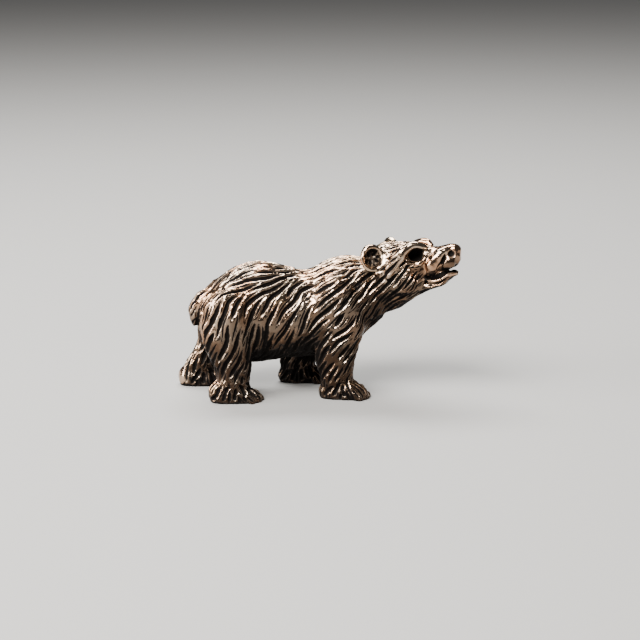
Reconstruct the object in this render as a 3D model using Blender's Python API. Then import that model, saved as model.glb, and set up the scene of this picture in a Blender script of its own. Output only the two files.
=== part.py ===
# Bronze figure of a walking bear with its muzzle raised, cast in one piece.
# It faces +X, its left side is +Y, and its soles rest on Z = 0 below the middle of its length.
# Every form is drawn on a scale where the figure is about 97 units long. The finished skin is scaled
# so that its length from heel to nose is OVERALL_LENGTH, and is centred over the origin.

import math
import random

import bmesh
import bpy
import numpy as np
from mathutils import Matrix, Vector, noise
from mathutils.bvhtree import BVHTree
from mathutils.kdtree import KDTree

OVERALL_LENGTH = 0.042
DRAWN_HEEL_X = -49.78
DRAWN_NOSE_X = 46.97

# Fineness of the clay, in drawn units
FORM_VOXEL = 0.5
RING_POINTS = 28
RINGS_BETWEEN = 5
MASS_SMOOTHING = 14
DETAIL_SMOOTHING = 3
SURFACE_TRIANGLES = 9600

BRONZE = (0.62, 0.42, 0.30, 1.0)
BRONZE_ROUGHNESS = 0.32

# The head has its own frame: its middle between the ears, x towards the nose, y to the left ear
HEAD_PLACE = Vector((20.4, -1.5, 48.4))
HEAD_TURN = math.radians(-25)
HEAD_RAISE = math.radians(6)
HEAD_TILT = math.radians(-5)
HEAD = (
    Matrix.Translation(HEAD_PLACE)
    @ Matrix.Rotation(HEAD_TURN, 4, "Z")
    @ Matrix.Rotation(-HEAD_RAISE, 4, "Y")
    @ Matrix.Rotation(HEAD_TILT, 4, "X")
)

# Upright sections of the trunk and neck: top x, z, bottom x, z, half width, sideways offset
TRUNK = (
    (-43.2, 31.5, -43.2, 26.0, 2.5, 0.0),
    (-41.4, 35.2, -41.8, 20.5, 7.4, 0.0),
    (-37.0, 39.6, -37.0, 15.0, 11.6, 0.0),
    (-30.6, 44.6, -30.6, 11.4, 13.4, 0.0),
    (-21.7, 46.8, -21.7, 11.0, 13.8, 0.0),
    (-13.0, 45.2, -13.0, 12.2, 13.8, 0.0),
    (-4.8, 43.2, -4.8, 12.6, 14.2, 0.0),
    (3.5, 46.9, 2.0, 13.5, 14.2, 0.0),
    (9.0, 47.8, 12.0, 17.0, 13.2, 0.0),
    (13.0, 47.6, 17.5, 22.5, 11.8, -0.2),
    (17.0, 49.2, 22.0, 26.5, 10.6, -0.8),
)

# Sections of the skull and its ruff in the head's frame: x, top z, bottom z, half width
SKULL = (
    (1.0, 4.4, -20.6, 9.4),
    (6.0, 4.6, -18.8, 8.9),
    (10.0, 4.4, -16.6, 8.1),
    (14.0, 3.4, -14.4, 6.6),
    (17.0, 2.2, -12.6, 4.6),
    (18.2, 0.0, -10.5, 2.4),
)
MUZZLE = (
    (12.0, 1.6, -7.6, 3.8),
    (16.5, 2.9, -8.0, 4.7),
    (19.5, 2.3, -7.6, 4.6),
    (22.7, 2.5, -6.6, 4.2),
    (25.6, 3.3, -5.4, 3.8),
    (27.8, 2.5, -4.4, 2.9),
    (29.1, 0.4, -2.6, 1.4),
)
JAW = (
    (11.0, -9.5, -15.6, 3.8),
    (16.5, -9.2, -13.2, 4.2),
    (19.7, -9.6, -12.0, 4.0),
    (22.4, -8.9, -11.2, 3.5),
    (24.8, -7.4, -9.3, 2.9),
    (26.4, -6.7, -8.3, 2.2),
    (27.7, -7.0, -8.0, 1.0),
)

# Level sections of each leg: z, rear x, front x, inner y, outer y
NEAR_HIND_LEG = (
    (37.0, -38.0, -24.0, 3.0, 12.5),
    (30.0, -42.2, -23.4, 3.0, 15.6),
    (23.0, -42.2, -23.8, 4.0, 16.2),
    (18.0, -40.8, -24.2, 5.0, 15.8),
    (13.0, -38.8, -24.8, 6.0, 15.3),
    (8.1, -37.2, -25.6, 6.3, 15.1),
    (4.0, -37.8, -26.2, 6.4, 15.2),
    (-1.0, -36.5, -28.0, 7.4, 14.4),
)
FAR_HIND_LEG = (
    (37.0, -38.0, -24.0, 3.0, 12.5),
    (30.0, -42.6, -24.0, 3.0, 15.6),
    (23.0, -42.8, -26.5, 4.0, 16.2),
    (16.0, -43.0, -30.0, 5.0, 15.6),
    (11.0, -45.4, -33.0, 6.0, 15.3),
    (7.5, -47.8, -35.0, 6.3, 15.1),
    (4.0, -48.2, -36.0, 6.4, 15.2),
    (-1.0, -45.0, -37.0, 7.4, 14.4),
)
NEAR_FORE_LEG = (
    (38.0, 1.0, 12.0, 4.0, 12.5),
    (30.0, -2.0, 14.4, 3.5, 15.2),
    (22.0, -2.8, 13.6, 4.5, 15.6),
    (14.7, -3.2, 11.2, 5.6, 15.3),
    (9.8, -2.2, 10.4, 6.2, 15.0),
    (6.0, -1.4, 10.2, 6.6, 14.4),
    (-1.0, 1.0, 9.6, 7.6, 13.4),
)
FAR_FORE_LEG = (
    (38.0, -2.0, 10.0, 4.0, 12.5),
    (30.0, -6.5, 11.0, 3.5, 15.2),
    (22.0, -10.0, 7.5, 4.5, 15.6),
    (14.7, -12.6, 2.6, 5.6, 15.3),
    (9.8, -13.6, 0.2, 6.2, 15.0),
    (6.0, -13.6, -0.8, 6.6, 14.4),
    (-1.0, -11.4, -2.0, 7.6, 13.4),
)

# Upright sections of a paw: x in percent of its length from the heel, top z, bottom z, inner y, outer y
HIND_PAW = (
    (0.8, 4.2, 1.8, 9.4, 12.4),
    (7.0, 6.2, -0.6, 7.6, 14.2),
    (22.0, 7.2, -2.0, 6.3, 15.4),
    (50.0, 7.2, -2.0, 5.9, 15.9),
    (70.0, 5.4, -2.0, 5.9, 15.9),
    (86.0, 3.8, -2.0, 6.6, 15.2),
    (94.0, 2.2, -2.0, 8.0, 13.8),
)
FORE_PAW = (
    (0.8, 3.8, 1.8, 9.2, 11.4),
    (8.0, 5.6, -0.6, 8.0, 12.8),
    (25.0, 6.8, -2.0, 6.8, 14.2),
    (50.0, 7.4, -2.0, 5.9, 15.7),
    (70.0, 5.8, -2.0, 5.8, 16.0),
    (86.0, 4.2, -2.0, 6.4, 15.4),
    (94.0, 2.6, -2.0, 8.0, 13.8),
)
TOES = 5
TOE_SPREAD = (6.6, 15.2)
TOE_SETBACK = 3.4
# Cuts fan out over each paw from the ankle towards its rim, between the toes and round to the heel.
# They start and end at shares of the paw's reach, and every other one starts higher.
FAN_ANGLES = (-148, -118, -90, -63, -37, -13, 12, 36, 62, 92, 122, 152)
FAN_STARTS = (0.42, 0.2)
FAN_REACH = 0.93
FAN_HEIGHT = 8.6
RIM_HEIGHT = 1.3
FAN_SPACING = 2.5

LEGS = (
    # side, leg sections, paw sections, heel x, paw length, toe radius
    (-1, NEAR_HIND_LEG, HIND_PAW, -40.2, 19.4, 1.1),
    (1, FAR_HIND_LEG, HIND_PAW, -49.9, 19.4, 1.1),
    (-1, NEAR_FORE_LEG, FORE_PAW, -2.0, 18.6, 1.4),
    (1, FAR_FORE_LEG, FORE_PAW, -14.4, 18.6, 1.4),
)

# Muscles that swell beyond the trunk: centre x, y, z and radii, on both sides
MUSCLES = (
    ((-32.5, 9.6, 28.0), (9.8, 6.4, 11.5)),
    ((4.5, 9.5, 32.5), (9.0, 6.0, 12.0)),
    ((11.0, 6.5, 36.0), (8.0, 6.5, 10.0)),
)

TAIL_PATH = (
    (-39.4, 0.0, 36.4),
    (-42.4, 0.0, 33.2),
    (-43.8, 0.0, 29.8),
    (-43.8, 0.0, 26.8),
    (-43.4, 0.0, 24.6),
)
TAIL_RADII = (1.8, 2.4, 2.4, 1.9, 1.0)

# Small forms of the face, in the head's frame, for the right side and mirrored to the left
BROW_PATH = (
    (17.6, -3.6, 2.3),
    (15.8, -4.8, 3.2),
    (13.4, -6.0, 3.2),
    (11.2, -7.3, 2.0),
    (9.4, -8.2, -0.4),
    (7.0, -9.0, -3.2),
    (5.2, -9.0, -6.6),
)
BROW_RADII = (0.8, 1.1, 1.35, 1.55, 1.7, 1.6, 1.0)
LID_PATH = (
    (10.6, -7.6, -1.7),
    (12.4, -7.3, -2.9),
    (14.8, -6.6, -3.1),
    (16.8, -5.6, -2.4),
    (17.9, -4.8, -0.9),
)
LID_RADII = (0.5, 0.85, 0.9, 0.8, 0.5)
# The rear lobe of the upper lip runs up over the side of the muzzle, with the front lobe before it
LOBE_PATH = ((19.5, -3.5, -5.4), (20.0, -3.9, -3.4), (22.2, -3.4, -0.7), (24.8, -2.3, 1.3))
LOBE_RADII = (1.9, 2.5, 2.2, 1.4)
FRONT_LOBE = ((25.0, -2.6, -3.1), (2.7, 2.1, 2.4))
# The curled edge of the lower lip
LIP_PATH = (
    (17.4, -4.3, -8.6),
    (20.3, -4.3, -9.2),
    (23.0, -3.5, -8.5),
    (25.2, -2.5, -7.0),
    (27.2, -1.0, -6.9),
)
LIP_RADII = (0.5, 0.65, 0.65, 0.65, 0.5)
CHEEK = ((8.5, -5.8, -8.5), (6.2, 3.6, 5.6))
NOSE = ((26.9, 0.0, 0.8), (2.5, 3.0, 2.3))
TONGUE = ((20.5, 0.0, -7.7), (6.3, 3.1, 1.9))
# Dents: centre, radius, depth and direction
EYE = ((14.8, -5.6, 0.4), 2.9, 3.4, (-0.45, 0.9, -0.15))
NOSTRIL = ((26.6, -2.9, -0.2), 1.5, 1.4, (-0.5, 0.85, 0))
# Cuts between the lobes of the upper lip, and under the edge of the lower one
LIP_FOLD = ((24.9, -3.9, 0.0), (23.8, -4.7, -2.6), (22.3, -4.9, -5.4))
UNDER_LIP = ((17.4, -4.8, -10.0), (20.3, -4.9, -10.6), (23.0, -4.1, -9.9), (25.2, -2.9, -8.4))
FOLD_SPACING = 2.0

# Ears: round cups with thick rims that face forward and outward, the left one set further forward
EAR_CENTRE = (-0.4, -7.9, -0.3)
LEFT_EAR_CENTRE = (1.5, 7.9, 0.2)
EAR_FACING = (0.60, -0.78, 0.12)
EAR_RADII = (4.2, 4.4, 1.5)
EAR_RIM_RADIUS = 1.1
EAR_RIM_REACH = 0.84
EAR_CUP_RADIUS = 3.6
EAR_CUP_DEPTH = 2.3
# Cuts between the tufts inside an ear: angle, and where each starts and ends as shares of the radii
EAR_TUFTS = (
    (8, 0.30, 0.72),
    (52, 0.12, 0.70),
    (84, 0.35, 0.78),
    (128, 0.10, 0.66),
    (163, 0.38, 0.76),
    (205, 0.18, 0.70),
    (251, 0.05, 0.62),
    (287, 0.34, 0.76),
    (330, 0.16, 0.66),
)
TUFT_SPACING = 1.6

# The lie of the coat seen from the right: x, z, angle of the hair in degrees, lock spacing, lock length
COAT = (
    (-42.0, 34.0, 240, 3.2, 11),
    (-38.5, 40.0, 221, 3.2, 12),
    (-35.3, 29.7, 257, 3.6, 17),
    (-28.3, 26.0, 252, 3.3, 15),
    (-35.3, 18.7, 246, 3.1, 13),
    (-19.0, 45.0, 184, 3.0, 12),
    (-28.0, 43.0, 200, 3.0, 12),
    (-19.0, 39.5, 214, 3.0, 11),
    (-19.5, 33.0, 245, 2.9, 13),
    (-21.0, 23.8, 258, 2.9, 13),
    (-12.3, 36.0, 234, 2.9, 12),
    (-8.8, 27.2, 244, 2.7, 11),
    (-8.0, 18.0, 248, 2.6, 9),
    (-4.8, 43.0, 200, 2.7, 9),
    (4.2, 45.5, 209, 2.8, 12),
    (9.5, 41.0, 217, 2.9, 11),
    (2.0, 34.2, 222, 3.1, 12),
    (7.2, 25.0, 212, 2.9, 11),
    (16.0, 37.4, 231, 2.2, 7),
    (15.0, 28.0, 238, 2.3, 8),
)
# The same for a hind leg and a fore leg, with x measured from the heel
HIND_LEG_COAT = (
    (8.5, 11.3, 232, 2.6, 10),
    (6.0, 4.7, 262, 2.3, 8),
    (15.5, 3.0, 312, 1.9, 5),
)
FORE_LEG_COAT = (
    (7.5, 15.8, 222, 2.7, 9),
    (8.0, 9.6, 238, 2.4, 8),
    (4.0, 4.0, 250, 2.2, 6),
    (13.0, 3.0, 305, 1.9, 5),
)
COAT_SIDE = 12.5

# The same for the head, in the head's frame: x, y, z, angle, spacing, length
HEAD_COAT = (
    (8.0, -7.5, -6.0, 232, 2.7, 10),
    (8.0, -7.0, 1.0, 214, 2.1, 7),
    (8.0, -2.5, 5.0, 190, 2.0, 6),
    (-3.0, -4.0, 5.0, 192, 2.2, 7),
    (15.5, -5.5, 4.4, 205, 1.8, 4),
    (14.0, -5.0, -11.0, 205, 2.2, 8),
    (4.0, -5.0, -18.0, 215, 2.4, 8),
    (24.0, -3.0, 2.0, 190, 1.8, 3),
)

# Places that stay smooth, in the head's frame: centre and radius
BARE_SPOTS = (
    ((24.5, 0.0, -1.5), 7.2),
    ((24.5, 0.0, -9.0), 6.5),
    ((19.5, -4.0, -3.0), 4.2),
    ((19.5, 4.0, -3.0), 4.2),
    ((14.8, -5.0, 1.2), 4.2),
    ((14.8, 5.0, 1.2), 4.2),
    ((10.4, -7.4, 1.0), 2.2),
    ((10.4, 7.4, 1.0), 2.2),
    ((0.0, -8.4, 0.2), 5.2),
    ((1.9, 8.4, 0.6), 5.2),
)
# The heel of the left hind paw stays smooth too, in the figure's own frame
BARE_HEEL = (Vector((-49.0, 10.5, 3.4)), 3.6)

# Cuts between the locks. Widths, depths and distances are shares of the lock spacing there.
CUT_STEP = 0.4
CUT_SEED = 11
CUT_SPACING = 0.9
NEAREST_CUT = 0.42
CUT_HALF_WIDTH = 0.36
CUT_DEPTH = 0.34
CUT_TAPER = 3.5
# Lengths are shares of the lock length there
CUT_REACH = (0.7, 1.3)
LEAST_CUT = 0.3
LOCK_WANDER = 0.22
HAND_WORK = 0.35


def mirrored(point):
    """The point on the other side of the plane y = 0."""
    return (point[0], -point[1], point[2])


def unchanged(point):
    return point


def in_head(point):
    return HEAD @ Vector(point)


def turned_with_head(direction):
    return (HEAD.to_3x3() @ Vector(direction)).normalized()


def clear_scene():
    for thing in list(bpy.data.objects):
        bpy.data.objects.remove(thing)


def through(rows, between=RINGS_BETWEEN):
    """The rows with smooth in-between rows added, on a Catmull-Rom curve through them."""
    rows = np.array(rows, float)
    ends = np.vstack([2 * rows[0] - rows[1], rows, 2 * rows[-1] - rows[-2]])
    made = []
    for before, a, b, after in zip(ends, ends[1:], ends[2:], ends[3:]):
        for t in np.arange(between) / between:
            bend = 2 * before - 5 * a + 4 * b - after
            turn = 3 * a - before - 3 * b + after
            made.append(0.5 * (2 * a + (b - before) * t + bend * t**2 + turn * t**3))
    return np.array(made + [rows[-1]])


class Clay:
    """Closed lumps that overlap, gathered before they are fused into one skin."""

    def __init__(self):
        self.points = []
        self.faces = []
        ball = bmesh.new()
        bmesh.ops.create_icosphere(ball, subdivisions=3, radius=1.0)
        self.ball_points = np.array([v.co for v in ball.verts])
        self.ball_faces = [[v.index for v in f.verts] for f in ball.faces]
        ball.free()

    def add(self, points, faces):
        first = len(self.points)
        self.points.extend(points)
        self.faces.extend([first + k for k in face] for face in faces)

    def add_mesh(self, mesh):
        self.add([v.co[:] for v in mesh.vertices], [list(p.vertices) for p in mesh.polygons])

    def add_ball(self, centre, radii, turn=None):
        """An ellipsoid, turned by the given matrix."""
        turn = np.array(turn or Matrix.Identity(3))
        self.add((self.ball_points * np.array(radii)) @ turn.T + np.array(centre), self.ball_faces)

    def add_tube(self, path, radii):
        """A round tapering form along a path, with round ends."""
        for x, y, z, radius in through([(*p, r) for p, r in zip(path, radii)]):
            self.add_ball((x, y, z), (radius, radius, radius))

    def add_loft(self, sections):
        """A closed skin over oval sections, each a centre and two half axes."""
        points = []
        for centre, half_up, half_side in sections:
            for k in range(RING_POINTS):
                turn = 2 * math.pi * k / RING_POINTS
                points.append(centre + half_up * math.sin(turn) + half_side * math.cos(turn))
        faces = [list(range(RING_POINTS))[::-1]]
        for ring in range(len(sections) - 1):
            for k in range(RING_POINTS):
                here = ring * RING_POINTS + k
                beside = ring * RING_POINTS + (k + 1) % RING_POINTS
                faces.append([here, beside, beside + RING_POINTS, here + RING_POINTS])
        faces.append([len(points) - RING_POINTS + k for k in range(RING_POINTS)])
        self.add(points, faces)

    def fused(self, name, voxel, smoothing):
        """One closed skin round everything, smoothed where forms meet."""
        mesh = bpy.data.meshes.new(name)
        mesh.from_pydata([tuple(p) for p in self.points], [], self.faces)
        lump = bpy.data.objects.new(name, mesh)
        remesh = lump.modifiers.new("fuse", "REMESH")
        remesh.mode = "VOXEL"
        remesh.voxel_size = voxel
        relax = lump.modifiers.new("relax", "SMOOTH")
        relax.iterations = smoothing
        return finished(lump)


def finished(thing):
    """The object's mesh with its modifiers carried out. The object itself is removed."""
    bpy.context.scene.collection.objects.link(thing)
    bpy.context.view_layer.update()
    evaluated = thing.evaluated_get(bpy.context.evaluated_depsgraph_get())
    mesh = bpy.data.meshes.new_from_object(evaluated)
    bpy.data.objects.remove(thing)
    return mesh


def head_section(x, top, bottom, half_width):
    upper = in_head((x, 0, top))
    lower = in_head((x, 0, bottom))
    side = turned_with_head((0, 1, 0)) * half_width
    return (upper + lower) / 2, (upper - lower) / 2, side


def trunk_section(top_x, top_z, bottom_x, bottom_z, half_width, offset):
    upper = Vector((top_x, offset, top_z))
    lower = Vector((bottom_x, offset, bottom_z))
    return (upper + lower) / 2, (upper - lower) / 2, Vector((0, half_width, 0))


def leg_section(side, z, rear, front, inner, outer):
    centre = Vector(((rear + front) / 2, side * (inner + outer) / 2, z))
    return centre, Vector(((front - rear) / 2, 0, 0)), Vector((0, (outer - inner) / 2, 0))


def paw_section(side, heel, length, x, top, bottom, inner, outer):
    centre = Vector((heel + length * x / 100, side * (inner + outer) / 2, (top + bottom) / 2))
    return centre, Vector((0, 0, (top - bottom) / 2)), Vector((0, (outer - inner) / 2, 0))


def add_trunk(clay):
    sections = [trunk_section(*row) for row in TRUNK]
    sections += [head_section(*row) for row in SKULL]
    flat = through([(*centre, *up, *side) for centre, up, side in sections])
    clay.add_loft([(Vector(row[:3]), Vector(row[3:6]), Vector(row[6:])) for row in flat])
    for centre, radii in MUSCLES:
        clay.add_ball(centre, radii)
        clay.add_ball(mirrored(centre), radii)


def add_legs(clay):
    for side, leg, paw, heel, length, _ in LEGS:
        clay.add_loft([leg_section(side, *row) for row in through(leg)])
        clay.add_loft([paw_section(side, heel, length, *row) for row in through(paw)])


def add_toes(clay):
    """Five toes fan out at the front of each paw, the middle ones furthest forward."""
    for side, _, _, heel, length, radius in LEGS:
        for k in range(TOES):
            share = k / (TOES - 1)
            setback = TOE_SETBACK * (2 * share - 1) ** 2
            y = side * (TOE_SPREAD[0] + share * (TOE_SPREAD[1] - TOE_SPREAD[0]))
            middle = side * sum(TOE_SPREAD) / 2
            tip = heel + length - radius - setback
            path = (
                (tip - 5.0, middle + (y - middle) * 0.8, radius + 1.9),
                (tip - 2.2, middle + (y - middle) * 0.93, radius + 0.9),
                (tip, y, radius * 0.5),
            )
            clay.add_tube(path, (radius, radius * 1.05, radius))


def add_face(clay):
    clay.add_loft([head_section(*row) for row in through(MUZZLE)])
    clay.add_loft([head_section(*row) for row in through(JAW)])
    turn = HEAD.to_3x3()
    for flip in (unchanged, mirrored):
        clay.add_tube([in_head(flip(p)) for p in BROW_PATH], BROW_RADII)
        clay.add_tube([in_head(flip(p)) for p in LID_PATH], LID_RADII)
        clay.add_tube([in_head(flip(p)) for p in LOBE_PATH], LOBE_RADII)
        clay.add_tube([in_head(flip(p)) for p in LIP_PATH], LIP_RADII)
        for centre, radii in (CHEEK, FRONT_LOBE):
            clay.add_ball(in_head(flip(centre)), radii, turn)
    for centre, radii in (NOSE, TONGUE):
        clay.add_ball(in_head(centre), radii, turn)


def ear_frame(flip):
    """The middle of an ear, then its directions across, up and out of the cup."""
    facing = turned_with_head(flip(EAR_FACING))
    across = turned_with_head((0, 0, 1)).cross(facing).normalized()
    centre = in_head(EAR_CENTRE if flip is unchanged else LEFT_EAR_CENTRE)
    return centre, across, facing.cross(across), facing


def around_ear(flip, reach, lift, angle):
    """A point of the ear at a share of its radii from its middle, lifted out of the cup."""
    centre, across, up, facing = ear_frame(flip)
    wide, high, deep = EAR_RADII
    out = across * wide * math.cos(angle) + up * high * math.sin(angle)
    return centre + out * reach + facing * deep * lift


def add_ears(clay):
    for flip in (unchanged, mirrored):
        centre, across, up, facing = ear_frame(flip)
        clay.add_ball(centre, EAR_RADII, Matrix((across, up, facing)).transposed())
        rim = [around_ear(flip, EAR_RIM_REACH, 0.5, math.radians(a)) for a in range(0, 361, 30)]
        clay.add_tube(rim, [EAR_RIM_RADIUS] * len(rim))


def form_of_bear(voxel):
    """The bear before its coat is cut, in drawn units."""
    rounds = (FORM_VOXEL / voxel) ** 2
    clay = Clay()
    add_trunk(clay)
    add_legs(clay)
    masses = clay.fused("masses", voxel, round(MASS_SMOOTHING * rounds))

    clay = Clay()
    clay.add_mesh(masses)
    add_toes(clay)
    clay.add_tube(TAIL_PATH, TAIL_RADII)
    add_face(clay)
    add_ears(clay)
    skin = clay.fused("form", voxel, round(DETAIL_SMOOTHING * rounds))
    move_points(skin, dented)
    return skin


def move_points(mesh, how):
    """Passes the mesh's points and normals to a function and takes the points it returns."""
    points = np.empty(len(mesh.vertices) * 3)
    normals = np.empty(len(mesh.vertices) * 3)
    mesh.vertices.foreach_get("co", points)
    mesh.vertices.foreach_get("normal", normals)
    moved = how(points.reshape(-1, 3), normals.reshape(-1, 3))
    mesh.vertices.foreach_set("co", moved.ravel())
    mesh.update()


def press(points, centre, radius, depth, direction):
    """Pushes a round dent into the surface."""
    away = np.linalg.norm(points - np.array(centre), axis=1) / radius
    fall = np.clip(1 - away**2, 0, 1) ** 1.2
    points += np.outer(fall * depth, np.array(direction))


def dented(points, normals):
    """Eye sockets, nostrils, the cups of the ears and a little unevenness from the hand."""
    points = points.copy()
    for flip in (unchanged, mirrored):
        for place, radius, depth, direction in (EYE, NOSTRIL):
            press(points, in_head(flip(place)), radius, depth, turned_with_head(flip(direction)))
        centre, _, _, facing = ear_frame(flip)
        press(points, centre + facing * EAR_RADII[2], EAR_CUP_RADIUS, EAR_CUP_DEPTH, -facing)
    sway = [noise.noise(Vector(p) * 0.23) + 0.5 * noise.noise(Vector(p) * 0.6) for p in points]
    return points + normals * (HAND_WORK * np.array(sway))[:, None]


def side_direction(angle):
    return Vector((math.cos(math.radians(angle)), 0, math.sin(math.radians(angle))))


def coat_guides():
    """Places, hair directions, spacings and lengths that the coat follows, on both sides."""
    rows = []
    for x, z, angle, spacing, length in COAT:
        for side in (-1, 1):
            rows.append((x, side * COAT_SIDE, z, *side_direction(angle), spacing, length))
    leg_coats = (HIND_LEG_COAT, HIND_LEG_COAT, FORE_LEG_COAT, FORE_LEG_COAT)
    for (side, _, _, heel, _, _), coat in zip(LEGS, leg_coats):
        for x, z, angle, spacing, length in coat:
            rows.append((heel + x, side * COAT_SIDE, z, *side_direction(angle), spacing, length))
    for x, y, z, angle, spacing, length in HEAD_COAT:
        for flip in (unchanged, mirrored):
            place = in_head(flip((x, y, z)))
            rows.append((*place, *turned_with_head(side_direction(angle)), spacing, length))
    return np.array(rows)


class Coat:
    """The lie of the hair over the whole surface, blended from the guides."""

    def __init__(self, skin):
        self.guides = coat_guides()
        self.tree = BVHTree.FromPolygons(
            [v.co for v in skin.vertices], [p.vertices for p in skin.polygons]
        )
        self.bare = [(in_head(c), r) for c, r in BARE_SPOTS] + [BARE_HEEL]

    def onto_surface(self, point):
        place, normal, _, _ = self.tree.find_nearest(point)
        return place, normal

    def lie(self, point, normal):
        """The hair's direction along the surface, the lock spacing and the lock length."""
        away = ((self.guides[:, :3] - np.array(point)) ** 2).sum(axis=1)
        weight = 1 / (away + 4.0) ** 2
        blend = weight @ self.guides[:, 3:] / weight.sum()
        direction = Vector(blend[:3])
        direction -= normal * direction.dot(normal)
        direction.normalize()
        wander = LOCK_WANDER * noise.noise(point * 0.16 + Vector((7, 3, 5)))
        direction += normal.cross(direction) * wander * 2
        return direction.normalized(), blend[3], blend[4]

    def is_bare(self, point):
        return point.z < 0.4 or any((point - centre).length < radius for centre, radius in self.bare)


class Nearby:
    """Points already taken, kept in cells so that a near one is found at once."""

    def __init__(self, cell):
        self.cell = cell
        self.cells = {}

    def key(self, point):
        return tuple(math.floor(c / self.cell) for c in point)

    def add(self, points):
        for point in points:
            self.cells.setdefault(self.key(point), []).append(point)

    def any_within(self, point, distance):
        i, j, k = self.key(point)
        for a in (i - 1, i, i + 1):
            for b in (j - 1, j, j + 1):
                for c in (k - 1, k, k + 1):
                    for other in self.cells.get((a, b, c), ()):
                        if (other - point).length < distance:
                            return True
        return False


def traced(coat, start, normal, way, reach, taken, nearest):
    """Follows the hair from a start for at most the reach, until another cut is too near."""
    path = []
    point = start
    for _ in range(int(reach / CUT_STEP)):
        direction, _, _ = coat.lie(point, normal)
        point, normal = coat.onto_surface(point + direction * way * CUT_STEP)
        if coat.is_bare(point) or taken.any_within(point, nearest):
            break
        path.append(point)
    return path


def paw_fans(coat):
    """The cuts between the toes and round the sides of each paw, from the ankle to the rim."""
    cuts = []
    for side, _, _, heel, length, _ in LEGS:
        middle = Vector((heel + length * 0.46, side * sum(TOE_SPREAD) / 2, 0))
        for k, angle in enumerate(FAN_ANGLES):
            turn = math.radians(angle)
            out = Vector((math.cos(turn) * length * 0.52, math.sin(turn) * 5.2, 0)) * FAN_REACH
            path = []
            for share in np.linspace(FAN_STARTS[k % 2], 1.0, 22):
                height = RIM_HEIGHT + (FAN_HEIGHT - RIM_HEIGHT) * (1 - share) ** 1.2
                path.append(coat.onto_surface(middle + out * share + Vector((0, 0, height)))[0])
            if not coat.is_bare(path[-1]):
                cuts.append((path, FAN_SPACING))
    return cuts


def face_cuts(coat):
    """The folds of the lips, and the hollows between the tufts that line the ears."""
    cuts = []
    for flip in (unchanged, mirrored):
        for fold in (LIP_FOLD, UNDER_LIP):
            path = [coat.onto_surface(in_head(flip(p)))[0] for p in through(fold)]
            cuts.append((path, FOLD_SPACING))
        for angle, inner, outer in EAR_TUFTS:
            turn = math.radians(angle)
            tuft = [around_ear(flip, reach, 0.2, turn) for reach in np.linspace(inner, outer, 12)]
            cuts.append(([coat.onto_surface(p)[0] for p in tuft], TUFT_SPACING))
    return cuts


def beside(coat, path, spacing):
    """Starting places for the next cuts, one lock's width to each side of this one."""
    for k in range(2, len(path) - 1, 3):
        along = (path[k + 1] - path[k]).normalized()
        _, normal = coat.onto_surface(path[k])
        for way in (-1, 1):
            yield coat.onto_surface(path[k] + normal.cross(along) * way * spacing)


def cuts_of_coat(skin):
    """The cuts between the locks: evenly spaced strokes that follow the hair."""
    coat = Coat(skin)
    chance = random.Random(CUT_SEED)
    seeds = [(v.co.copy(), v.normal.copy()) for v in skin.vertices]
    chance.shuffle(seeds)
    cuts = paw_fans(coat) + face_cuts(coat)
    taken = Nearby(5.0)
    for path, _ in cuts:
        taken.add(path)
    waiting = []
    while seeds or waiting:
        start, normal = waiting.pop(0) if waiting else seeds.pop()
        _, spacing, length = coat.lie(start, normal)
        spacing *= CUT_SPACING
        if coat.is_bare(start) or taken.any_within(start, spacing * 0.93):
            continue
        reach = length * chance.uniform(*CUT_REACH)
        nearest = spacing * NEAREST_CUT
        path = traced(coat, start, normal, -1, reach, taken, nearest)[::-1] + [start]
        path += traced(coat, start, normal, 1, reach, taken, nearest)
        if len(path) * CUT_STEP < LEAST_CUT * length:
            continue
        taken.add(path)
        cuts.append((path, spacing))
        waiting.extend(beside(coat, path, spacing * chance.uniform(0.95, 1.2)))
    return cuts


def cut_depths(points, cuts):
    """How far each point sinks below the surface, deepest along the middle of each cut."""
    total = sum(len(path) for path, _ in cuts)
    tree = KDTree(total)
    strength = np.zeros(total)
    width = np.zeros(total)
    at = 0
    for path, spacing in cuts:
        for k, point in enumerate(path):
            share = (k + 0.5) / len(path)
            taper = min(1.0, CUT_TAPER * share, CUT_TAPER * (1 - share))
            strength[at] = spacing * CUT_DEPTH * taper**0.6
            width[at] = spacing * CUT_HALF_WIDTH * taper**0.4
            tree.insert(point, at)
            at += 1
    tree.balance()
    depth = np.zeros(len(points))
    for i, point in enumerate(points):
        _, index, away = tree.find(point)
        if away < width[index]:
            depth[i] = strength[index] * (1 - (away / width[index]) ** 2) ** 1.6
    return depth


def stand_on_soles(mesh):
    """Cuts the mesh off level at the soles and caps each sole flat."""
    shape = bmesh.new()
    shape.from_mesh(mesh)
    cut = bmesh.ops.bisect_plane(
        shape,
        geom=shape.verts[:] + shape.edges[:] + shape.faces[:],
        dist=1e-4,
        plane_co=(0, 0, 0),
        plane_no=(0, 0, -1),
        clear_outer=True,
    )
    rim = [edge for edge in cut["geom_cut"] if isinstance(edge, bmesh.types.BMEdge)]
    bmesh.ops.holes_fill(shape, edges=rim)
    bmesh.ops.triangulate(shape, faces=[f for f in shape.faces if len(f.verts) > 3])
    bmesh.ops.recalc_face_normals(shape, faces=shape.faces)
    shape.to_mesh(mesh)
    shape.free()


def thinned(mesh, triangles):
    """The same surface with fewer triangles, kept where it bends most."""
    now = sum(len(p.vertices) - 2 for p in mesh.polygons)
    helper = bpy.data.objects.new("thinned", mesh)
    fewer = helper.modifiers.new("fewer", "DECIMATE")
    fewer.ratio = triangles / now
    return finished(helper)


def set_to_size(mesh):
    """Scales the drawn units to metres and moves the middle of the length over the origin."""
    mesh.transform(Matrix.Translation((-(DRAWN_HEEL_X + DRAWN_NOSE_X) / 2, 0, 0)))
    mesh.transform(Matrix.Scale(OVERALL_LENGTH / (DRAWN_NOSE_X - DRAWN_HEEL_X), 4))


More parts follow.
